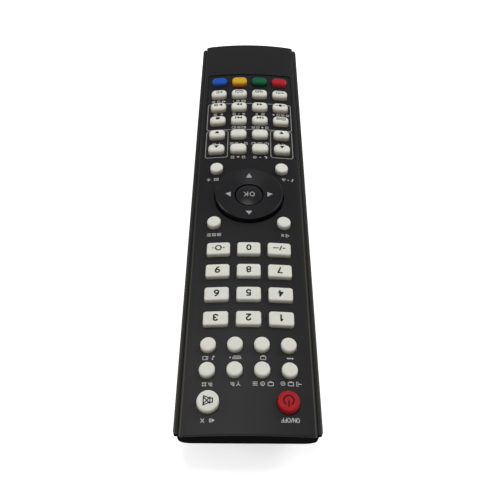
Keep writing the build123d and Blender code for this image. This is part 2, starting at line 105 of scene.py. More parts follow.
def distance_segment(x, y, ax, ay, bx, by):
    """Distance of points to a straight line between two ends."""
    dx, dy = bx - ax, by - ay
    length = dx * dx + dy * dy
    share = np.clip(((x - ax) * dx + (y - ay) * dy) / length, 0, 1)
    return np.hypot(x - ax - share * dx, y - ay - share * dy)


def line(ax, ay, bx, by, width=LABEL_LINE):
    """Stroke with round ends."""
    return lambda x, y: distance_segment(x, y, ax, ay, bx, by) - width / 2


def path(points, width=LABEL_LINE, closed=False):
    """Strokes through points."""
    ends = points[1:] + ([points[0]] if closed else [])
    strokes = [line(*a, *b, width) for a, b in zip(points, ends)]
    return union(*strokes)


def arc(cx, cy, radius, start, end, width=LABEL_LINE):
    """Stroke along a circle from one angle to another, in degrees, turning left."""
    middle = math.radians((start + end) / 2)
    half = math.radians((end - start) / 2)

    def distance(x, y):
        turn = np.arctan2(y - cy, x - cx) - middle
        turn = np.abs((turn + math.pi) % (2 * math.pi) - math.pi)
        around = np.abs(np.hypot(x - cx, y - cy) - radius)
        tips = [math.radians(angle) for angle in (start, end)]
        tip = [np.hypot(x - cx - radius * math.cos(t), y - cy - radius * math.sin(t)) for t in tips]
        return np.where(turn <= half, around, np.minimum(*tip)) - width / 2

    return distance


def circle(cx, cy, radius, width=LABEL_LINE):
    """Round outline."""
    return lambda x, y: np.abs(np.hypot(x - cx, y - cy) - radius) - width / 2


def disc(cx, cy, radius):
    """Filled circle."""
    return lambda x, y: np.hypot(x - cx, y - cy) - radius


def plate(cx, cy, width, height, corner=0.0):
    """Filled rectangle."""

    def distance(x, y):
        dx = np.abs(x - cx) - width / 2 + corner
        dy = np.abs(y - cy) - height / 2 + corner
        outside = np.hypot(np.maximum(dx, 0), np.maximum(dy, 0))
        return outside + np.minimum(np.maximum(dx, dy), 0) - corner

    return distance


def frame_outline(cx, cy, width, height, corner, stroke):
    """Outline of a rectangle with round corners."""
    inner = plate(cx, cy, width, height, corner)
    return lambda x, y: np.abs(inner(x, y)) - stroke / 2


def polygon(*points):
    """Filled polygon."""

    def distance(x, y):
        nearest = np.full(x.shape, np.inf)
        inside = np.zeros(x.shape, bool)
        for (ax, ay), (bx, by) in zip(points, points[1:] + points[:1]):
            nearest = np.minimum(nearest, distance_segment(x, y, ax, ay, bx, by))
            crosses = (ay > y) != (by > y)
            slope = (bx - ax) / (by - ay) if by != ay else 0
            inside ^= crosses & (x < ax + (y - ay) * slope)
        return np.where(inside, -nearest, nearest)

    return distance


def union(*shapes):
    """All the shapes together."""
    return lambda x, y: np.minimum.reduce([shape(x, y) for shape in shapes])


def without(shape, *holes):
    """A shape less its holes."""
    return lambda x, y: np.maximum(shape(x, y), -union(*holes)(x, y))


def moved(shape, dx, dy):
    """A shape at another place."""
    return lambda x, y: shape(x - dx, y - dy)


def mirrored(shape):
    """A shape turned left to right."""
    return lambda x, y: shape(-x, y)


def flipped(shape):
    """A shape turned top to bottom."""
    return lambda x, y: shape(x, -y)


SURFACES = {}


def surface_of(name):
    """Function that gives the height of a CAD node's top at a place in millimetres."""
    if name not in SURFACES:
        mesh = nodes[name].data
        faces = [face.vertices[:] for face in mesh.polygons]
        SURFACES[name] = BVHTree.FromPolygons([vertex.co for vertex in mesh.vertices], faces)
    above = cad_high.z + MM
    down = Vector((0, 0, -1))
    return lambda x, y: SURFACES[name].ray_cast(Vector((x * MM, y * MM, above)), down)[0].z


def flat_pattern(shape, cx, cy, half_width, half_height, cell):
    """Points and faces of a flat mesh that fills a shape around a centre."""
    columns = int(math.ceil(2 * half_width / cell)) + 2
    rows = int(math.ceil(2 * half_height / cell)) + 2
    xs = cx + (np.arange(columns + 1) - columns / 2) * cell
    ys = cy + (np.arange(rows + 1) - rows / 2) * cell
    grid_x, grid_y = np.meshgrid(xs, ys)
    value = shape(grid_x - cx, grid_y - cy)
    inside = value < 0
    points, index, faces = [], {}, []

    def point(key, x, y):
        if key not in index:
            index[key] = len(points)
            points.append((x, y))
        return index[key]

    counts = inside[:-1, :-1].astype(int) + inside[1:, :-1] + inside[:-1, 1:] + inside[1:, 1:]
    for row, column in zip(*np.nonzero(counts)):
        corners = [(row, column), (row, column + 1), (row + 1, column + 1), (row + 1, column)]
        face = []
        for a, b in zip(corners, corners[1:] + corners[:1]):
            if inside[a]:
                face.append(point(a, grid_x[a], grid_y[a]))
            if inside[a] != inside[b]:
                low, high = min(a, b), max(a, b)
                share = value[low] / (value[low] - value[high])
                share = min(max(share, CUT_MARGIN), 1 - CUT_MARGIN)
                x = grid_x[low] + share * (grid_x[high] - grid_x[low])
                y = grid_y[low] + share * (grid_y[high] - grid_y[low])
                face.append(point((low, high), x, y))
        faces.append(face)
    return points, faces


def mesh_object(name, vertices, faces, material):
    """Object from vertices in metres, with one material and flat faces."""
    mesh = bpy.data.meshes.new(name)
    mesh.from_pydata(vertices, [], faces)
    mesh.materials.append(material)
    mesh.update()
    made = bpy.data.objects.new(name, mesh)
    bpy.context.scene.collection.objects.link(made)
    return made


def mark(name, shape, place, size, node, material, cell=MARK_CELL):
    """Thin printed mark that follows the top of a CAD node, closed on every side."""
    flat, faces = flat_pattern(shape, *place, size[0] / 2, size[1] / 2, cell)
    height_at = surface_of(node)
    levels = [height_at(x, y) for x, y in flat]
    count = len(flat)
    vertices = [(x * MM, y * MM, z + MARK_LIFT * MM) for (x, y), z in zip(flat, levels)]
    vertices += [(x * MM, y * MM, z - MARK_DEPTH * MM) for (x, y), z in zip(flat, levels)]
    edges = {edge for face in faces for edge in zip(face, face[1:] + face[:1])}
    walls = [(b, a, a + count, b + count) for a, b in sorted(edges) if (b, a) not in edges]
    below = [[corner + count for corner in reversed(face)] for face in faces]
    made = mesh_object(name, vertices, faces + below + walls, material)
    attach(made, nodes[node]["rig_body"])
    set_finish(made, nodes[node]["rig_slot"])


# Range that most values of a noise lie in
NOISE_RANGE = (0.3, 0.7)

# Sockets of the mixing node for its two colours and for the mixed one
MIX_COLOURS = (6, 7)
MIX_RESULT = 2


def faded(colour, share):
    """Darker colour of the same hue."""
    return tuple(share * part for part in colour)


class Shader:
    """A material's node tree with short calls for the nodes that the materials here share."""

    def __init__(self, name):
        self.material = bpy.data.materials.new(name)
        self.material.use_nodes = True
        self.tree = self.material.node_tree
        self.bsdf = self.tree.nodes["Principled BSDF"]
        self.place = self.tree.nodes.new("ShaderNodeTexCoord").outputs["Object"]

    def node(self, kind, **values):
        made = self.tree.nodes.new(kind)
        for key, value in values.items():
            setattr(made, key, value)
        return made

    def link(self, source, target):
        self.tree.links.new(source, target)

    def set(self, **values):
        for key, value in values.items():
            self.bsdf.inputs[key.replace("_", " ")].default_value = value

    def noise(self, per_mm, detail=2.0, roughness=0.5, stretch=(1, 1, 1)):
        """Noise with a number of cells in each millimetre."""
        scaled = self.node("ShaderNodeMapping")
        scaled.inputs["Scale"].default_value = [per_mm * share / MM for share in stretch]
        self.link(self.place, scaled.inputs["Vector"])
        made = self.node("ShaderNodeTexNoise")
        made.inputs["Scale"].default_value = 1.0
        made.inputs["Detail"].default_value = detail
        made.inputs["Roughness"].default_value = roughness
        self.link(scaled.outputs["Vector"], made.inputs["Vector"])
        return made.outputs["Fac"]

    def spread(self, source, low, high, to_low=0.0, to_high=1.0):
        """Stretches a value from one range to another."""
        made = self.node("ShaderNodeMapRange")
        ends = {"From Min": low, "From Max": high, "To Min": to_low, "To Max": to_high}
        for key, value in ends.items():
            made.inputs[key].default_value = value
        self.link(source, made.inputs["Value"])
        return made.outputs["Result"]

    def over(self, source, start, end, to_start=0.0, to_end=1.0):
        """Stretches a place from a range in millimetres to another range."""
        return self.spread(source, start * MM, end * MM, to_start, to_end)

    def near(self, source, place, full=0.1, none=0.3):
        """1 up to one distance in millimetres from a place, and 0 from another distance on."""
        off = self.maths("ABSOLUTE", self.maths("SUBTRACT", source, place * MM))
        return self.over(off, full, none, 1.0, 0.0)

    def blend(self, share, first, second):
        """Mixes two colours, or what gives them, by a share."""
        made = self.node("ShaderNodeMix", data_type="RGBA")
        self.link(share, made.inputs["Factor"])
        for place, colour in zip(MIX_COLOURS, (first, second)):
            if isinstance(colour, tuple):
                made.inputs[place].default_value = (*colour, 1)
            else:
                self.link(colour, made.inputs[place])
        return made.outputs[MIX_RESULT]

    def maths(self, operation, first, second=0.0):
        """One sum of one or two values."""
        made = self.node("ShaderNodeMath", operation=operation)
        for place, value in enumerate((first, second)):
            if isinstance(value, (int, float)):
                made.inputs[place].default_value = value
            else:
                self.link(value, made.inputs[place])
        return made.outputs["Value"]

    def times(self, first, *others):
        """Values multiplied."""
        for other in others:
            first = self.maths("MULTIPLY", first, other)
        return first

    def colour(self, source):
        self.link(source, self.bsdf.inputs["Base Color"])

    def rough(self, source, low, high):
        self.link(self.spread(source, *NOISE_RANGE, low, high), self.bsdf.inputs["Roughness"])

    def clouded(self, noise, first, second):
        """Two colours that noise runs between."""
        return self.blend(self.spread(noise, *NOISE_RANGE), first, second)

    def bump(self, source, depth_mm, strength=1.0):
        """Relief of a depth in millimetres."""
        made = self.node("ShaderNodeBump")
        made.inputs["Distance"].default_value = depth_mm * MM
        made.inputs["Strength"].default_value = strength
        self.link(source, made.inputs["Height"])
        self.link(made.outputs["Normal"], self.bsdf.inputs["Normal"])

    def axes(self):
        """The shaded point's X, Y and Z, in metres."""
        split = self.node("ShaderNodeSeparateXYZ")
        self.link(self.place, split.inputs["Vector"])
        return split.outputs


# In the materials, places are in millimetres from the object's middle and its back.


def cover_material():
    """Black moulded plastic with a fine spark texture and painted highlights along its long edges.

    It has a painted sheen towards the window end and on the rails, and painted deep shade under the
    window.
    """
    # Painted sheen towards the window end, weaker towards -X
    sheen_y = (0, 90)
    sheen_x = (-26, 4)
    least_sheen = 0.25
    top_z = (17.4, 18.2)
    shade_y = (100, 106)
    shine, shade_shine = 0.045, 0.001
    # Painted light on the rails and the groove beside them
    rail_sheen_x = (23.4, 24.0)
    # Painted highlights along the long edges of the cover and the rails
    edge_highlight_x = (23.1, 25.3)
    edge_highlight_y = (-50, 90)
    least_edge_highlight = 0.1
    dark_plastic, plastic = (0.0060, 0.0060, 0.0068), (0.0085, 0.0085, 0.0094)
    sheen_plastic = (0.0275, 0.0272, 0.0280)
    spark = (0.030, 0.030, 0.031)
    rail_sheen_plastic = (0.022, 0.0215, 0.0205)
    shaded_plastic = (0.0034, 0.0034, 0.0038)
    edge_highlight_plastic = (0.065, 0.058, 0.048)

    s = Shader("cover_black")
    grain = s.noise(5.0, detail=3)
    cloud = s.noise(0.035, detail=3)
    place = s.axes()
    beside = s.maths("ABSOLUTE", place["X"])
    top = s.over(place["Z"], *top_z)
    # Painted sheen: brighter towards the window end and less so towards -X, standing in for the
    # overhead lamp's reflection
    sheen_sideways = s.over(place["X"], *sheen_x, least_sheen, 1.0)
    painted_sheen = s.times(s.over(place["Y"], *sheen_y), sheen_sideways)
    shade = s.times(s.over(place["Y"], *shade_y), s.maths("SUBTRACT", 1.0, top))
    # Painted highlights: thin pale lines along the long edges of the cover and the rails, stronger
    # towards the window end, standing in for their reflections
    edges = s.maths("MAXIMUM", *[s.near(beside, edge) for edge in edge_highlight_x])
    painted_highlight = s.times(edges, top, s.over(place["Y"], *edge_highlight_y, least_edge_highlight, 1.0))

    tint = s.clouded(cloud, dark_plastic, plastic)
    tint = s.blend(painted_sheen, tint, sheen_plastic)
    tint = s.blend(s.spread(grain, 0.35, 1.2), tint, spark)
    # Painted light: the rails and the groove beside them are paler, standing in for the rails'
    # sheen and lifting the shade in the groove
    tint = s.blend(s.over(beside, *rail_sheen_x), tint, rail_sheen_plastic)
    tint = s.blend(shade, tint, shaded_plastic)
    s.colour(s.blend(painted_highlight, tint, edge_highlight_plastic))
    s.link(s.spread(shade, 0.0, 1.0, shine, shade_shine), s.bsdf.inputs["Specular IOR Level"])
    s.rough(cloud, 0.44, 0.54)
    s.bump(grain, 0.03, 0.35)
    return s.material


def ring_material():
    """Black plastic with a finer, satin surface and a painted highlight on its rim towards the
    window end.
    """
    rim_radius = 14.45
    # Painted highlight on the rim
    rim_highlight_from, rim_highlight_to = (8.2, 11.5), (12.5, 14.1)
    rim_highlight_y = (0, 3)
    rim_highlight_x = (-10, 10)
    least_rim_highlight = 0.45

    s = Shader("ring_black")
    s.set(Specular_IOR_Level=0.09)
    grain = s.noise(9.0, detail=2)
    cloud = s.noise(0.05, detail=3)
    low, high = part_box("nav_ring")
    place = s.axes()
    across = s.maths("SUBTRACT", place["X"], (low.x + high.x) / 2)
    along = s.maths("SUBTRACT", place["Y"], (low.y + high.y) / 2)
    reach = s.maths("SQRT", s.maths("ADD", s.maths("POWER", across, 2), s.maths("POWER", along, 2)))
    aside = s.maths("ABSOLUTE", across)
    # Painted highlight: thin pale arcs on the rim at both sides, towards the window end and
    # stronger on the +X side
    sides = s.times(s.over(aside, *rim_highlight_from), s.over(aside, *rim_highlight_to, 1.0, 0.0))
    rim_highlight_side = s.times(s.over(along, *rim_highlight_y), s.over(across, *rim_highlight_x, least_rim_highlight, 1.0))
    painted_highlight = s.times(s.near(reach, rim_radius), sides, rim_highlight_side)

    tint = s.clouded(cloud, (0.0055, 0.0055, 0.0067), (0.0080, 0.0080, 0.0092))
    s.colour(s.blend(painted_highlight, tint, (0.070, 0.068, 0.064)))
    s.rough(cloud, 0.26, 0.32)
    s.bump(grain, 0.008, 0.25)
    return s.material


def key_material(name, colour, dust_and_shade_colour):
    """Silicone key, a little darker low on its walls from dust and painted shade."""
    dust_and_shade_z = (21.4, 23.0)
    s = Shader(name)
    s.set(Specular_IOR_Level=0.08, Subsurface_Weight=0.12, Subsurface_Scale=0.8 * MM)
    grain = s.noise(7.0, detail=2)
    cloud = s.noise(0.3, detail=3)
    top = s.blend(s.spread(cloud, 0.3, 0.75), colour, faded(colour, 0.93))
    # Dust and painted shade: the walls are darker and warmer low down, near the cover
    s.colour(s.blend(s.over(s.axes()["Z"], *dust_and_shade_z), dust_and_shade_colour, top))
    s.rough(cloud, 0.42, 0.52)
    s.bump(grain, 0.012, 0.3)
    return s.material


def ink_material(name, colour):
    """Printed ink with slight wear."""
    s = Shader(name)
    s.set(Specular_IOR_Level=0.05)
    cloud = s.noise(1.6, detail=4, roughness=0.6)
    s.colour(s.blend(s.spread(cloud, 0.45, 0.8), colour, faded(colour, 0.8)))
    s.rough(cloud, 0.5, 0.6)
    return s.material


def window_material():
    """Deep red-black glossy plastic that infrared light passes."""
    s = Shader("window_dark")
    s.set(Specular_IOR_Level=0.001)
    cloud = s.noise(0.06, detail=2)
    s.colour(s.clouded(cloud, (0.0010, 0.0008, 0.0009), (0.0016, 0.0012, 0.0013)))
    s.rough(cloud, 0.10, 0.16)
    return s.material


def mat_material():
    """Grey silicone sheet."""
    s = Shader("mat_grey")
    cloud = s.noise(0.4, detail=3)
    s.colour(s.clouded(cloud, (0.10, 0.10, 0.10), (0.13, 0.13, 0.13)))
    s.rough(cloud, 0.6, 0.7)
    s.bump(s.noise(4.0), 0.01, 0.4)
    return s.material


def board_material():
    """Green solder mask over copper tracks."""
    track_pitch = 14 * MM
    s = Shader("board_green")
    s.set(Specular_IOR_Level=0.5, Coat_Weight=0.2)
    tracks = s.node("ShaderNodeTexBrick", offset=0.37)
    tracks.inputs["Scale"].default_value = 1 / track_pitch
    tracks.inputs["Mortar Size"].default_value = 0.03
    s.link(s.place, tracks.inputs["Vector"])
    s.colour(s.blend(tracks.outputs["Fac"], (0.02, 0.10, 0.035), (0.05, 0.2, 0.07)))
    s.rough(s.noise(0.5), 0.3, 0.4)
    s.bump(tracks.outputs["Fac"], 0.03, 0.5)
    return s.material


def metal_material():
    """Nickel-plated spring steel with fine scratches."""
    s = Shader("contact_metal")
    s.set(Metallic=1.0)
    brushed = s.noise(3.0, detail=4, stretch=(1, 0.1, 1))
    s.colour(s.clouded(brushed, (0.62, 0.60, 0.56), (0.75, 0.73, 0.69)))
    s.rough(brushed, 0.22, 0.38)
    s.bump(brushed, 0.01, 0.3)
    return s.material


def cell_material():
    """Shrink-wrapped cells with a bright band near the positive end and bare metal ends.

    Shares run from -1 at a cell's flat end to 1 at its positive end.
    """
    band_from, band_to = 0.42, 0.86
    bare_from = 0.94
    band_colour = (0.55, 0.42, 0.16)
    bare_colour = (0.65, 0.64, 0.62)

    s = Shader("cell_wrap")
    low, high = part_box("batteries")
    middle = (low.y + high.y) / 2
    half = (high.y - low.y) / 2
    place = s.axes()
    along = s.times(s.maths("SUBTRACT", place["Y"], middle), s.maths("SIGN", place["X"]))
    share = s.maths("DIVIDE", along, half)
    band = s.times(s.maths("GREATER_THAN", share, band_from), s.maths("LESS_THAN", share, band_to))
    wrap = s.blend(s.noise(0.4), (0.03, 0.045, 0.08), (0.04, 0.06, 0.10))
    bare = s.maths("GREATER_THAN", s.maths("ABSOLUTE", share), bare_from)
    s.colour(s.blend(bare, s.blend(band, wrap, band_colour), bare_colour))
    s.link(bare, s.bsdf.inputs["Metallic"])
    s.rough(s.noise(2.0), 0.24, 0.34)
    return s.material


# Key colours: on top, and low on the walls, where dust and painted shade darken them
KEY_COLOURS = {
    "white_key": ((0.62, 0.62, 0.555), (0.42, 0.38, 0.30)),
    "red_key": ((0.33, 0.009, 0.015), (0.29, 0.036, 0.034)),
    "green_key": ((0.001, 0.085, 0.036), (0.009, 0.036, 0.028)),
    "yellow_key": ((0.54, 0.31, 0.016), (0.62, 0.095, 0.030)),
    "blue_key": ((0.007, 0.070, 0.38), (0.044, 0.055, 0.16)),
}
MATERIALS = {
    "cover_black": cover_material(),
    "ring_black": ring_material(),
    "window_dark": window_material(),
    "mat_grey": mat_material(),
    "board_green": board_material(),
    "contact_metal": metal_material(),
    "cell_wrap": cell_material(),
}
for name, colours in KEY_COLOURS.items():
    MATERIALS[name] = key_material(name, *colours)
LABEL_INK = ink_material("label_ink", (0.42, 0.42, 0.40))
FRAME_INK = ink_material("frame_ink", (0.25, 0.25, 0.24))
ARROW_INK = ink_material("arrow_ink", (0.32, 0.32, 0.32))
DARK_INK = ink_material("dark_ink", (0.014, 0.014, 0.014))
RED_INK = ink_material("red_ink", (0.045, 0.004, 0.006))

for part in frame["record"]["subparts"]:
    carried = nodes[part["node"]]
    carried.data.materials.clear()
    carried.data.materials.append(MATERIALS[part["material_slot"]])
    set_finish(carried, part["material_slot"])


def centre_of(node):
    """Middle of a CAD node seen from above, in millimetres."""
    low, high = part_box(node)
    return (low.x + high.x) / 2 / MM, (low.y + high.y) / 2 / MM


def key_mark(node, shape, size, shift=0.0, ink=DARK_INK, cell=MARK_CELL):
    """Mark on top of a key, shifted from its middle towards the tail end."""
    cx, cy = centre_of(node)
    mark(node.replace("key_", "mark_"), shape, (cx, cy - shift), size, node, ink, cell)


# Digits, drawn as strokes about their middle
DIGIT_TALL = 3.1
DIGIT_WIDE = 2.15
DIGIT_LINE = 0.62
DIGIT_ROOM = 0.6


def ellipse(cx, cy, half_width, half_height, width):
    """Oval outline of even stroke width."""
    steps = 28
    turns = [2 * math.pi * step / steps for step in range(steps)]
    points = [(cx + half_width * math.cos(t), cy + half_height * math.sin(t)) for t in turns]
    return path(points, width, closed=True)


def bow(cx, cy, half_width, half_height, start, end, width):
    """Stretch of an oval from one angle to another, in degrees."""
    steps = 20
    turns = [math.radians(start + (end - start) * step / steps) for step in range(steps + 1)]
    points = [(cx + half_width * math.cos(t), cy + half_height * math.sin(t)) for t in turns]
    return path(points, width)


def digit_shapes():
    """The ten digits by number."""
    t = DIGIT_LINE
    w = (DIGIT_WIDE - t) / 2
    h = (DIGIT_TALL - t) / 2
    low_eye = 0.56 * h
    six = union(
        ellipse(0, low_eye - h, w, low_eye, t),
        bow(w * 0.9, low_eye - h, w * 1.9, 2 * h - low_eye, 100, 180, t),
    )
    return {
        0: ellipse(0, 0, w, h, t),
        1: path([(-0.45 * w, 0.55 * h), (0.25 * w, h), (0.25 * w, -h)], t),
        2: union(
            bow(0, 0.42 * h, w, 0.58 * h, -20, 165, t),
            path([(w * 0.94, 0.22 * h), (-w, -h), (w, -h)], t),
        ),
        3: union(
            bow(0, 0.48 * h, 0.92 * w, 0.52 * h, -88, 155, t),
            bow(0, -0.48 * h, w, 0.52 * h, -155, 88, t),
        ),
        4: path([(0.45 * w, -h), (0.45 * w, h), (-w, -0.35 * h), (w, -0.35 * h)], t),
        5: union(
            path([(0.85 * w, h), (-0.7 * w, h), (-0.85 * w, 0.02 * h)], t),
            bow(-0.02, -0.38 * h, w, 0.62 * h, -150, 135, t),
        ),
        6: six,
        7: path([(-w, h), (w, h), (-0.25 * w, -h)], t),
        8: union(ellipse(0, 0.5 * h, 0.86 * w, 0.5 * h, t), ellipse(0, -0.48 * h, w, 0.52 * h, t)),
        9: flipped(mirrored(six)),
    }


def triangle(cx, cy, half_width, height):
    """Filled triangle that points up, or down if its height is negative."""
    low = cy - height / 2
    return polygon((cx - half_width, low), (cx + half_width, low), (cx, low + height))


def wedge(cx, cy, length, half_height):
    """Filled triangle that points right, or left if its length is negative."""
    back = cx - length / 2
    return polygon((back, cy - half_height), (back, cy + half_height), (back + length, cy))


def power_symbol():
    """Open circle with an upright bar."""
    stroke = 0.52
    return union(arc(0, -0.2, 1.75, 128, 412, stroke), line(0, 0.1, 0, 1.95, stroke))


def muted_speaker():
    """Outlined loudspeaker with a cross."""
    stroke = 0.4
    horn = path([(-0.7, 0.7), (1.5, 1.7), (1.5, -1.7), (-0.7, -0.7)], stroke)
    magnet = frame_outline(-1.25, 0, 0.9, 1.5, 0.05, stroke)
    cross = [line(-0.8, tall, 1.45, -tall, stroke) for tall in (1.15, -1.15)]
    return union(horn, magnet, *cross)


def dash_symbol():
    """One dash, a slash and two dashes."""
    stroke = 0.5
    dashes = [line(x, 0, x + 0.75, 0, stroke) for x in (-2.3, 0.35, 1.55)]
    return union(line(-0.95, -0.95, -0.25, 0.95, stroke), *dashes)


def recall_symbol():
    """Two half turns with arrow heads, for going back to the last channel."""
    radius, stroke = 1.15, 0.52
    turns = [arc(0, 0, radius, start, start + 140, stroke) for start in (20, 200)]
    heads = [triangle(side * 1.12, side * -0.05, 0.58, side * -0.85) for side in (1, -1)]
    dots = [disc(x, 0, 0.32) for x in (-2.25, 2.25)]
    return union(*turns, *heads, *dots)


# Signs on the lozenge keys
PILL_SHIFT = 0.4
PILL_SIZE = (5.2, 2.4)
PILL_LINE = 0.34
WEDGE_HALF = 0.95
STEP_HALF = 1.2
STEP_TALL = 1.8


def double_wedge(length):
    """Two triangles one after the other."""
    return union(*[wedge(x, 0, length, WEDGE_HALF) for x in (-length / 2, length / 2)])


def skip_symbol():
    """Two triangles and a bar."""
    return union(moved(double_wedge(1.3), -0.2, 0), plate(1.5, 0, 0.5, 1.8))


def text_symbol():
    """Page with lines of writing."""
    lines = [line(0.1, y, 2.1, y, 0.32) for y in (-0.6, 0, 0.6)]
    page = frame_outline(-1.3, 0, 1.7, 1.55, 0.1, PILL_LINE)
    return union(page, line(-1.7, 0, -0.9, 0), *lines)


def repeat_symbol():
    """Flat loop with an arrow head."""
    loop = frame_outline(0, 0, 3.6, 1.2, 0.45, 0.36)
    return union(without(loop, plate(0.9, 0.6, 0.8, 0.6)), wedge(0.85, 0.5, 0.8, 0.48))


def zoom_symbol():
    """Magnifying glass and two size marks."""
    glass = union(circle(-1.0, 0.1, 0.6, PILL_LINE), line(-0.6, -0.3, -0.15, -0.75, 0.36))
    return union(glass, frame_outline(1.2, 0, 1.8, 1.45, 0.1, 0.32), plate(1.2, 0, 0.7, 0.5))


def subtitle_symbol():
    """Wide screen with two lines of writing low on it."""
    lines = [line(start, -0.3, end, -0.3, 0.32) for start, end in ((-1.3, 0.1), (0.6, 1.3))]
    return union(frame_outline(0, 0, 3.8, 1.55, 0.2, PILL_LINE), *lines)


def speaker(x, throat, mouth, half_throat, half_mouth):
    """Filled loudspeaker that opens to the right, from its back's place on."""
    upper = [(x, half_throat), (throat, half_throat), (mouth, half_mouth)]
    lower = [(px, -py) for px, py in reversed(upper)]
    return polygon(*upper, *lower)


def audio_symbol():
    """Small loudspeaker with three sound waves."""
    waves = [arc(-1.3, 0, radius, -32, 32, PILL_LINE) for radius in (1.0, 1.75, 2.5)]
    return union(speaker(-1.9, -1.5, -0.9, 0.35, 0.75), *waves)


def play_pause_symbol():
    """Triangle and two bars."""
    bars = [plate(x, 0, 0.6, 1.75) for x in (0.75, 1.7)]
    return union(wedge(-1.0, 0, 1.8, WEDGE_HALF), *bars)


def record_symbol():
    """Disc between two dashes."""
    dashes = [line(x, 0, x + 0.7, 0, 0.5) for x in (-2.1, 1.4)]
    return union(disc(0, 0, 0.85), *dashes)


for number, shape in digit_shapes().items():
    room = DIGIT_TALL + DIGIT_ROOM
    key_mark(f"key_digit_{number}", shape, (room, room), 0.1, cell=FINE_CELL)
key_mark("key_power", power_symbol(), (4.6, 5.0), ink=RED_INK)
key_mark("key_mute", muted_speaker(), (5.0, 5.0))
key_mark("key_dash", dash_symbol(), (5.4, 2.8), 0.2)
key_mark("key_recall", recall_symbol(), (5.6, 3.6), 0.1)

PILL_MARKS = {
    "key_volume_up": triangle(0, 0, STEP_HALF, STEP_TALL),
    "key_channel_up": triangle(0, 0, STEP_HALF, STEP_TALL),
    "key_volume_down": triangle(0, 0, STEP_HALF, -STEP_TALL),
    "key_channel_down": triangle(0, 0, STEP_HALF, -STEP_TALL),
    "key_stop": plate(0, 0, 1.9, 1.65, 0.08),
    "key_next": skip_symbol(),
    "key_previous": mirrored(skip_symbol()),
    "key_text": text_symbol(),
    "key_play_pause": play_pause_symbol(),
    "key_forward": double_wedge(1.45),
    "key_rewind": mirrored(double_wedge(1.45)),
    "key_record": record_symbol(),
    "key_repeat": repeat_symbol(),
    "key_zoom": zoom_symbol(),
    "key_subtitle": subtitle_symbol(),
    "key_audio": audio_symbol(),
}
for key, shape in PILL_MARKS.items():
    key_mark(key, shape, PILL_SIZE, PILL_SHIFT)


def ring_marks():
    """Four arrows on the navigation ring."""
    cx, cy = centre_of("nav_ring")
    half_base = 1.4
    tall = 2.3
    room = 3.6
    along = 12.15 - tall / 2
    across = 10.4 - tall / 2
    arrows = {
        "mark_arrow_up": (triangle(0, 0, half_base, tall), (cx, cy + along)),
        "mark_arrow_down": (triangle(0, 0, half_base, -tall), (cx, cy - along)),
        "mark_arrow_right": (wedge(0, 0, tall, half_base), (cx + across, cy)),
        "mark_arrow_left": (wedge(0, 0, -tall, half_base), (cx - across, cy)),
    }
    for name, (shape, place) in arrows.items():
        mark(name, shape, place, (room, room), "nav_ring", ARROW_INK)


def ok_letters():
    """The two letters on the ring's middle button."""
    stroke = 0.38
    half_tall = 1.35 - stroke / 2
    letter_o = ellipse(-1.4, 0, 0.95, half_tall, stroke)
    stem = line(0.6, -half_tall, 0.6, half_tall, stroke)
    upper_arm = line(0.7, -0.1, 2.05, half_tall, stroke)
    lower_arm = line(1.1, 0.25, 2.2, -half_tall, stroke)
    letters = union(letter_o, stem, upper_arm, lower_arm)
    key_mark("key_ok", letters, (5.8, 3.6), ink=ARROW_INK)


ring_marks()
ok_letters()


# Small symbols, about 1.7 mm tall, that stand in rows as the labels beside the keys


def star_outline(points, radius, inner):
    """Corners of a star, whose inner ones lie at a share of its radius."""
    corners = []
    for k in range(2 * points):
        reach = radius * (inner if k % 2 else 1)
        turn = math.pi * k / points
        corners.append((reach * math.sin(turn), reach * math.cos(turn)))
    return corners


def rays(count, near, far, width):
    """Strokes that point away from the middle, all round it."""
    turns = [2 * math.pi * k / count for k in range(count)]
    ends = [(math.cos(turn), math.sin(turn)) for turn in turns]
    return [line(near * x, near * y, far * x, far * y, width) for x, y in ends]


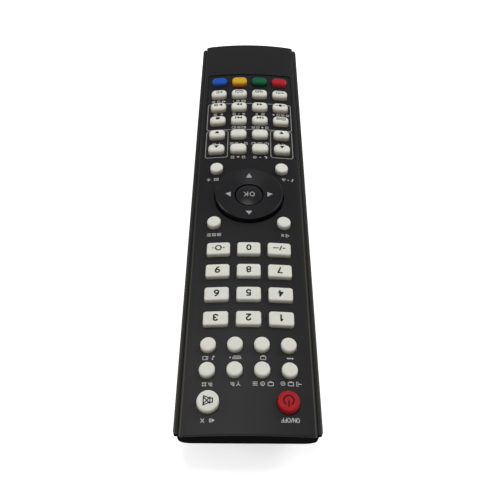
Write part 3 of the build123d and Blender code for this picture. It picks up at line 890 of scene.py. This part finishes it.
def label_symbols():
    """Every label symbol by name, with its half width."""
    w = THIN_LINE
    tall = 0.72
    door = path([(0.3, 0.75), (0.85, 0.75), (0.85, -0.75), (0.3, -0.75)], w)
    tray_corners = [(-1.5, 0.5), (1.5, 0.5), (1.5, 0), (1.0, -0.55), (-1.0, -0.55), (-1.5, 0)]
    tray = path(tray_corners, w, closed=True)
    squares = [plate(x, y, 0.6, 0.6) for x in (-0.45, 0.45) for y in (-0.45, 0.45)]
    thirds = (-0.6, 0, 0.6)
    return {
        "o": (ellipse(0, 0, 0.5, tall, w), 0.6),
        "n": (path([(-0.45, -tall), (-0.45, tall), (0.45, -tall), (0.45, tall)], w), 0.55),
        "f": (
            union(
                path([(0.42, tall), (-0.4, tall), (-0.4, -tall)], w),
                line(-0.4, 0.05, 0.25, 0.05, w),
            ),
            0.5,
        ),
        "slash": (line(-0.3, -0.75, 0.3, 0.75, w), 0.35),
        "plus": (union(line(-0.6, 0, 0.6, 0), line(0, -0.6, 0, 0.6)), 0.7),
        "speaker": (
            union(
                speaker(-0.8, -0.4, 0.1, 0.3, 0.78),
                arc(-0.1, 0, 0.6, -45, 45, w),
                arc(-0.1, 0, 1.0, -45, 45, w),
            ),
            0.95,
        ),
        "cross": (union(*[line(-0.5, end, 0.5, -end, 0.28) for end in (-0.6, 0.6)]), 0.65),
        "enter": (union(line(-0.85, 0, 0.2, 0, w), wedge(0.25, 0, 0.6, 0.4), door), 0.95),
        "leave": (union(line(0.85, 0, -0.2, 0, w), wedge(-0.3, 0, -0.6, 0.4), door), 0.95),
        "screen": (
            union(frame_outline(0, 0.12, 1.9, 1.25, 0.12, w), line(-0.4, -0.8, 0.4, -0.8, w)),
            1.05,
        ),
        "plug": (union(circle(0, 0, 0.7, w), disc(0, 0, 0.25)), 0.82),
        "clock": (
            union(circle(0, 0, 0.7, w), path([(0, 0.45), (0, 0), (0.3, -0.2)], FINE_LINE)),
            0.82,
        ),
        "mast": (
            union(line(0, -0.8, 0, 0.2, w), path([(-0.65, 0.8), (0, 0.1), (0.65, 0.8)], w)),
            0.75,
        ),
        "wave": (union(*[arc(-0.7, -0.6, radius, 5, 85, w) for radius in (0.5, 0.95, 1.4)]), 0.85),
        "three": (union(*[disc(x, 0, 0.34) for x in (-0.85, 0, 0.85)]), 1.2),
        "socket": (union(tray, line(-0.9, 0.05, 0.9, 0.05, w)), 1.7),
        "note": (
            union(disc(-0.3, -0.5, 0.34), path([(0.0, -0.5), (0.0, 0.75), (0.45, 0.45)], w)),
            0.65,
        ),
        "picture": (
            union(
                frame_outline(0, 0, 1.8, 1.4, 0.1, w),
                path([(-0.75, -0.45), (-0.2, 0.15), (0.75, -0.5)], FINE_LINE),
            ),
            1.0,
        ),
        "list": (union(*[line(-0.75, y, 0.75, y, 0.28) for y in thirds]), 0.9),
        "grid": (union(*squares), 0.82),
        "sun": (union(disc(0, 0, 0.38), *rays(8, 0.6, 0.82, FINE_LINE)), 0.95),
        "bars": (union(*[line(x, -0.7, x, top) for x, top in zip(thirds, (0, 0.7, 0.25))]), 0.8),
        "moon": (without(disc(0, 0, 0.8), disc(0.42, 0.25, 0.68)), 0.8),
        "page": (
            union(frame_outline(0, 0, 1.2, 1.5, 0.1, w), line(-0.25, 0, 0.25, 0, FINE_LINE)),
            0.72,
        ),
        "up": (triangle(0, 0, 0.7, 1.2), 0.75),
        "down": (triangle(0, 0, 0.7, -1.2), 0.75),
        "right": (wedge(0, 0, 1.1, 0.65), 0.65),
        "film": (
            union(frame_outline(0, 0, 1.8, 1.3, 0.05, w), line(-0.4, -0.6, -0.4, 0.6, w)),
            1.0,
        ),
        "nested": (union(frame_outline(0, 0, 2.0, 1.5, 0.05, w), plate(0, 0, 0.8, 0.5)), 1.1),
        "lens": (union(circle(-0.15, 0.15, 0.5, w), line(0.25, -0.25, 0.65, -0.65)), 0.75),
        "star": (polygon(*star_outline(5, 0.85, 0.42)), 0.85),
        "dot": (disc(0, 0, 0.3), 0.35),
    }


# Labels by name: place, width and symbols
LABELS = {
    "power": ((-14.45, 104.75), 6.5, "o n slash o f f"),
    "mute": ((13.85, 105.0), 4.9, "speaker cross"),
    "source": ((-15.25, 91.4), 7.5, "enter screen plug"),
    "display": ((-5.25, 91.65), 7.5, "screen clock list"),
    "tuner_a": ((4.6, 91.7), 3.6, "mast wave"),
    "tuner_b": ((14.55, 91.75), 3.9, "wave grid"),
    "input_a": ((-15.25, 81.5), 2.4, "three"),
    "input_b": ((-5.4, 81.5), 2.2, "screen"),
    "input_c": ((4.75, 81.5), 4.5, "socket dot"),
    "input_d": ((14.5, 81.5), 4.4, "note film"),
    "menu": ((14.7, 24.25), 6.0, "list grid list"),
    "exit": ((-15.55, 24.35), 3.9, "leave cross"),
    "picture_mode": ((16.6, -7.8), 5.4, "picture sun"),
    "sound_mode": ((-17.65, -7.95), 5.3, "note dot bars"),
    "page_up": ((5.2, -22.1), 6.6, "page up page"),
    "sleep": ((-5.15, -22.1), 6.6, "moon dot clock"),
    "channel": ((15.55, -31.4), 4.1, "mast bars"),
    "page_down": ((5.05, -31.4), 8.4, "page down page list"),
    "aspect": ((-5.25, -31.4), 8.2, "screen nested film"),
    "volume": ((-15.55, -31.4), 4.1, "speaker plus"),
    "chapter": ((5.1, -42.75), 6.8, "film list film"),
    "bookmark": ((-5.2, -42.75), 8.2, "page star page list"),
    "guide": ((15.4, -52.7), 5.0, "star list"),
    "search": ((5.2, -52.7), 6.2, "lens dot page"),
    "last": ((-5.3, -52.7), 4.8, "list right"),
    "timer": ((-15.6, -52.7), 8.6, "clock list page star"),
    "languages": ((15.55, -62.6), 7.1, "speaker page list"),
    "captions": ((5.25, -62.65), 6.5, "picture list dot"),
}


def add_labels():
    """Labels on the front cover, each a row of symbols spread over its width."""
    symbols = label_symbols()
    room, tall = 0.6, 2.2
    for name, (place, width, words) in LABELS.items():
        row = [symbols[word] for word in words.split()]
        spare = width - sum(2 * half for _, half in row)
        gap = spare / (len(row) - 1) if len(row) > 1 else 0
        left = -width / 2 if len(row) > 1 else -row[0][1]
        shapes = []
        for shape, half in row:
            shapes.append(moved(shape, left + half, 0))
            left += 2 * half + gap
        size = (width + room, tall)
        mark("label_" + name, union(*shapes), place, size, "front_cover", LABEL_INK, LABEL_CELL)


def add_frames():
    """Printed frames around the lower keys."""
    corner, room = 1.2, 1
    boxes = {
        "frame_playback": (0, -50.95, 41.5, 19.4),
        "frame_channel": (15.45, -31.45, 10.4, 18.3),
        "frame_volume": (-15.45, -31.45, 10.4, 18.3),
    }
    for name, (cx, cy, width, height) in boxes.items():
        shape = frame_outline(0, 0, width, height, corner, FRAME_LINE)
        size = (width + room, height + room)
        mark(name, shape, (cx, cy), size, "front_cover", FRAME_INK, COARSE_CELL)


add_labels()
add_frames()


# Floor and light
def seen_share(tree):
    """1 for camera, glossy and transmission rays, and 0 for the rays that only bring light."""
    light_path = tree.nodes.new("ShaderNodeLightPath")
    seen = light_path.outputs["Is Camera Ray"]
    for kind in ("Is Glossy Ray", "Is Transmission Ray"):
        either = tree.nodes.new("ShaderNodeMath")
        either.operation = "MAXIMUM"
        tree.links.new(seen, either.inputs[0])
        tree.links.new(light_path.outputs[kind], either.inputs[1])
        seen = either.outputs[0]
    return seen


def floor_material():
    """Pale floor that shows white to the camera and keeps the soft shadow."""
    paleness = 0.8
    glow_strength = 0.6
    material = bpy.data.materials.new("floor_white")
    material.use_nodes = True
    tree = material.node_tree
    tree.nodes.clear()
    paint = tree.nodes.new("ShaderNodeBsdfDiffuse")
    paint.inputs["Color"].default_value = (paleness, paleness, paleness, 1)
    glow = tree.nodes.new("ShaderNodeEmission")
    glow.inputs["Color"].default_value = (1, 1, 1, 1)
    strength = tree.nodes.new("ShaderNodeMath")
    strength.operation = "MULTIPLY"
    strength.inputs[1].default_value = glow_strength
    tree.links.new(seen_share(tree), strength.inputs[0])
    tree.links.new(strength.outputs[0], glow.inputs["Strength"])
    both = tree.nodes.new("ShaderNodeAddShader")
    out = tree.nodes.new("ShaderNodeOutputMaterial")
    tree.links.new(paint.outputs[0], both.inputs[0])
    tree.links.new(glow.outputs[0], both.inputs[1])
    tree.links.new(both.outputs[0], out.inputs["Surface"])
    return material


def add_floor(half=3.0):
    """Level floor under the object."""
    corners = [(-half, -half, 0), (half, -half, 0), (half, half, 0), (-half, half, 0)]
    floor = mesh_object("floor", corners, [(0, 1, 2, 3)], floor_material())


def add_world(level=0.5):
    """Even surroundings that light at a level and are seen as plain white."""
    world = bpy.data.worlds.new("studio")
    bpy.context.scene.world = world
    world.use_nodes = True
    tree = world.node_tree
    background = tree.nodes["Background"]
    background.inputs["Color"].default_value = (1, 1, 1, 1)
    strength = tree.nodes.new("ShaderNodeMapRange")
    strength.inputs["To Min"].default_value = level
    strength.inputs["To Max"].default_value = 1.0
    tree.links.new(seen_share(tree), strength.inputs["Value"])
    tree.links.new(strength.outputs["Result"], background.inputs["Strength"])


# Lamps by name: place, target, size and power in watts
LAMPS = {
    "lamp_over": ((0.06, -0.2, 0.9), (0, 0.08, 0), 0.3, 3.6),
    "lamp_side": ((-0.7, -0.55, 0.6), (0, 0, 0), 0.4, 3.2),
    "lamp_edge": ((0.8, 0.1, 0.45), (0, 0, 0), 0.15, 0.8),
}


def add_lamp(name, place, target, size, watts):
    """Square soft lamp that points at a target."""
    data = bpy.data.lights.new(name, "AREA")
    data.size = size
    data.energy = watts
    lamp = bpy.data.objects.new(name, data)
    lamp.location = place
    lamp.rotation_euler = (Vector(target) - Vector(place)).to_track_quat("-Z", "Y").to_euler()
    bpy.context.scene.collection.objects.link(lamp)


def add_camera():
    """Camera that sees the object as the photograph shows it."""
    data = bpy.data.cameras.new("camera")
    data.sensor_width = SENSOR_WIDTH
    data.lens = FOCAL_LENGTH_PX / PHOTO_SIZE_PX * SENSOR_WIDTH
    data.clip_start = 5 * MM
    camera = bpy.data.objects.new("camera", data)
    camera.location = [value * MM for value in CAMERA_PLACE_MM]
    camera.rotation_euler = [math.radians(value) for value in CAMERA_TURN_DEG]
    bpy.context.scene.collection.objects.link(camera)
    bpy.context.scene.camera = camera


add_floor()
add_world()
for name, lamp in LAMPS.items():
    add_lamp(name, *lamp)
add_camera()
bpy.context.scene.view_settings.view_transform = "Standard"
